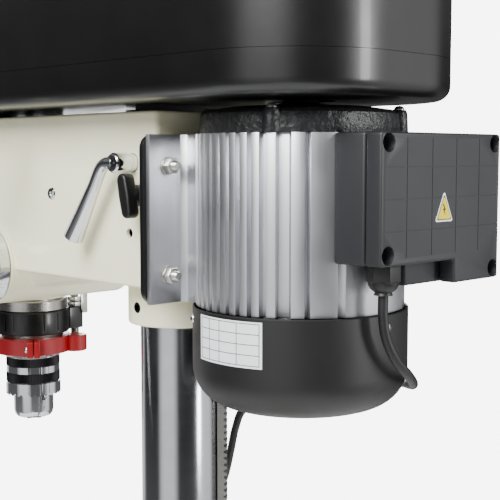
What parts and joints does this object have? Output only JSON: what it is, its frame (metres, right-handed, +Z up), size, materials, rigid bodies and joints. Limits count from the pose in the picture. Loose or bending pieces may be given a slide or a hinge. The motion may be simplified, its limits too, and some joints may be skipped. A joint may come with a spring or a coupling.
{
  "type": "drill press",
  "caption": "Floor-standing drill press with a belt drive under a hinged cover, a finned rear motor, a keyed chuck on a sliding quill, and a round table that swings, lifts, tilts and turns.",
  "frame": {"origin": "on the column's axis, at the underside of the base", "axes": "+Z up along the column, -Y towards the operator, +Y towards the motor, +X to the operator's right"},
  "size_m": [0.3542, 0.724, 1.64],
  "materials": {
    "cream_paint": "semi-gloss sprayed enamel",
    "black_paint": "gloss sprayed enamel",
    "fan_cover_paint": "satin powder coat",
    "bare_cast_iron": "ground work surface",
    "dark_casting": "rough painted casting",
    "polished_steel": "ground and polished",
    "black_steel": "blackened",
    "chrome_plate": "bright plating",
    "bright_aluminium": "extruded",
    "black_plastic": "moulded",
    "charcoal_plastic": "moulded, fine texture",
    "red_plastic": "moulded",
    "black_rubber": "matt"
  },
  "bodies": {
    "frame": {"base": "cream_paint", "column_flange": "cream_paint", "column": "polished_steel", "rack_collar": "cream_paint", "head_casting": "cream_paint", "switch_box": "black_plastic", "spring_housing": "black_paint", "return_spring": "black_steel", "idler_bracket": "dark_casting", "belt_front": "black_rubber", "belt_rear": "black_rubber", "belt_cover_tray": "black_paint", "motor_lead": "black_rubber"},
    "table_swing": {"rack": "polished_steel"},
    "table_carriage": {"table_bracket": "cream_paint"},
    "lift_gear": {"lift_gear": "polished_steel"},
    "table_crank": {"table_crank": "polished_steel", "crank_grip": "black_plastic"},
    "column_lock": {"column_lock_lever": "black_steel"},
    "table_arm": {"table_arm": "cream_paint"},
    "table": {"table": "bare_cast_iron"},
    "table_lock": {"table_lock_lever": "black_steel"},
    "switch_paddle": {"switch_paddle": "red_plastic"},
    "quill": {"quill": "polished_steel", "depth_collar": "black_paint", "depth_rod": "black_steel", "depth_nuts": "black_steel", "guard_ring": "red_plastic"},
    "spindle": {"spindle": "polished_steel", "chuck_body": "chrome_plate"},
    "chuck_sleeve": {"chuck_sleeve": "chrome_plate"},
    "chuck_jaw_1": {"chuck_jaw_1": "polished_steel"},
    "chuck_jaw_2": {"chuck_jaw_2": "polished_steel"},
    "chuck_jaw_3": {"chuck_jaw_3": "polished_steel"},
    "feed": {"feed_shaft": "polished_steel", "feed_hub": "chrome_plate", "feed_handle_1": "chrome_plate", "feed_handle_2": "chrome_plate", "feed_handle_3": "chrome_plate"},
    "depth_dial": {"depth_dial": "bright_aluminium"},
    "spindle_pulley": {"spindle_pulley": "bright_aluminium"},
    "idler_pulley": {"idler_pulley": "bright_aluminium"},
    "motor": {"motor_plate": "black_paint", "slide_bar_left": "polished_steel", "slide_bar_right": "polished_steel", "motor_frame": "bright_aluminium", "motor_stator": "dark_casting", "motor_end_shield": "dark_casting", "motor_lower_shield": "dark_casting", "motor_fan_cover": "fan_cover_paint", "terminal_box": "charcoal_plastic", "terminal_box_cover": "charcoal_plastic", "cable_gland": "black_plastic"},
    "rotor": {"motor_rotor": "polished_steel", "motor_pulley": "bright_aluminium", "motor_fan": "black_plastic"},
    "tension_lever": {"tension_lever": "chrome_plate"},
    "tension_lock": {"tension_lock_knob": "black_plastic"},
    "cover_lid": {"belt_cover_lid": "black_paint", "lid_knob": "black_plastic"}
  },
  "joints": [
    {"name": "table_travel", "type": "slide", "parent": "table_swing", "child": "table_carriage", "axis": [0, 0, -1], "range_m": [-0.25, 0.48]},
    {"name": "table_swing", "type": "hinge", "parent": "frame", "child": "table_swing", "pos_m": [0, 0, 0.72], "axis": [0, 0, 1], "range_deg": [-90, 90]},
    {"name": "lift_gear_turn", "type": "hinge", "parent": "table_carriage", "child": "lift_gear", "pos_m": [-0.0413, 0.0413, 0.722], "axis": [-0.7071, -0.7071, 0], "range_deg": [-1250, 2400]},
    {"name": "table_crank_turn", "type": "hinge", "parent": "table_carriage", "child": "table_crank", "pos_m": [-0.04243, 0.04243, 0.7026], "axis": [-0.7071, 0.7071, 0], "range_deg": [-2300, 4400]},
    {"name": "column_lock_turn", "type": "hinge", "parent": "table_carriage", "child": "column_lock", "pos_m": [0.074, 0, 0.72], "axis": [0, 1, 0], "range_deg": [-35, 50]},
    {"name": "table_tilt", "type": "hinge", "parent": "table_carriage", "child": "table_arm", "pos_m": [0, -0.12, 0.72], "axis": [0, 1, 0], "range_deg": [-45, 45]},
    {"name": "table_turn", "type": "hinge", "parent": "table_arm", "child": "table", "pos_m": [0, -0.254, 0.82], "axis": [0, 0, 1], "continuous": true},
    {"name": "table_lock_turn", "type": "hinge", "parent": "table_arm", "child": "table_lock", "pos_m": [0.055, -0.254, 0.74], "axis": [1, 0, 0], "range_deg": [-60, 60]},
    {"name": "switch_flip", "type": "hinge", "parent": "frame", "child": "switch_paddle", "pos_m": [-0.103, -0.151, 1.469], "axis": [-1, 0, 0], "range_deg": [0, 25]},
    {"name": "quill_feed", "type": "slide", "parent": "frame", "child": "quill", "axis": [0, 0, -1], "range_m": [0, 0.12], "stiffness_N_per_m": 1500, "springref_m": -0.12},
    {"name": "feed_turn", "type": "hinge", "parent": "frame", "child": "feed", "pos_m": [0.1, -0.209, 1.368], "axis": [1, 0, 0], "range_deg": [0, 340]},
    {"name": "depth_dial_turn", "type": "hinge", "parent": "feed", "child": "depth_dial", "pos_m": [0.086, -0.209, 1.368], "axis": [1, 0, 0], "range_deg": [0, 330]},
    {"name": "spindle_spin", "type": "hinge", "parent": "quill", "child": "spindle", "pos_m": [0, -0.254, 1.3], "axis": [0, 0, 1], "continuous": true},
    {"name": "chuck_sleeve_turn", "type": "hinge", "parent": "spindle", "child": "chuck_sleeve", "pos_m": [0, -0.254, 1.235], "axis": [0, 0, 1], "range_deg": [0, 1080]},
    {"name": "chuck_jaw_1_slide", "type": "slide", "parent": "spindle", "child": "chuck_jaw_1", "axis": [1, 0, 0], "range_m": [0, 0.0045]},
    {"name": "chuck_jaw_2_slide", "type": "slide", "parent": "spindle", "child": "chuck_jaw_2", "axis": [-0.5, 0.866, 0], "range_m": [0, 0.0045]},
    {"name": "chuck_jaw_3_slide", "type": "slide", "parent": "spindle", "child": "chuck_jaw_3", "axis": [-0.5, -0.866, 0], "range_m": [0, 0.0045]},
    {"name": "spindle_pulley_spin", "type": "hinge", "parent": "frame", "child": "spindle_pulley", "pos_m": [0, -0.254, 1.56], "axis": [0, 0, 1], "continuous": true},
    {"name": "idler_pulley_spin", "type": "hinge", "parent": "frame", "child": "idler_pulley", "pos_m": [0, -0.04, 1.56], "axis": [0, 0, 1], "continuous": true},
    {"name": "motor_slide", "type": "slide", "parent": "frame", "child": "motor", "axis": [0, 1, 0], "range_m": [-0.009, 0], "deforming": ["belt_rear"]},
    {"name": "motor_spin", "type": "hinge", "parent": "motor", "child": "rotor", "pos_m": [0, 0.157, 1.45], "axis": [0, 0, 1], "continuous": true},
    {"name": "tension_lever_turn", "type": "hinge", "parent": "frame", "child": "tension_lever", "pos_m": [0.09, 0.026, 1.474], "axis": [1, 0, 0], "range_deg": [-30, 0]},
    {"name": "tension_lock_turn", "type": "hinge", "parent": "frame", "child": "tension_lock", "pos_m": [0.09, 0.041, 1.446], "axis": [-1, 0, 0], "range_deg": [0, 40]},
    {"name": "lid_hinge", "type": "hinge", "parent": "frame", "child": "cover_lid", "pos_m": [-0.1248, 0, 1.558], "axis": [0, -1, 0], "range_deg": [0, 100]}
  ],
  "couplings": [
    {"joint": "lift_gear_turn", "follows": "table_travel", "rad_per_m": 83.333},
    {"joint": "table_crank_turn", "follows": "table_travel", "rad_per_m": 157.08},
    {"joint": "feed_turn", "follows": "quill_feed", "rad_per_m": 48.781},
    {"joint": "chuck_jaw_1_slide", "follows": "chuck_sleeve_turn", "m_per_rad": 0.00023873},
    {"joint": "chuck_jaw_2_slide", "follows": "chuck_sleeve_turn", "m_per_rad": 0.00023873},
    {"joint": "chuck_jaw_3_slide", "follows": "chuck_sleeve_turn", "m_per_rad": 0.00023873},
    {"joint": "idler_pulley_spin", "follows": "motor_spin", "ratio": 0.42857},
    {"joint": "spindle_pulley_spin", "follows": "motor_spin", "ratio": 0.2449},
    {"joint": "spindle_spin", "follows": "motor_spin", "ratio": 0.2449},
    {"joint": "tension_lever_turn", "follows": "motor_slide", "rad_per_m": 56.497}
  ]
}
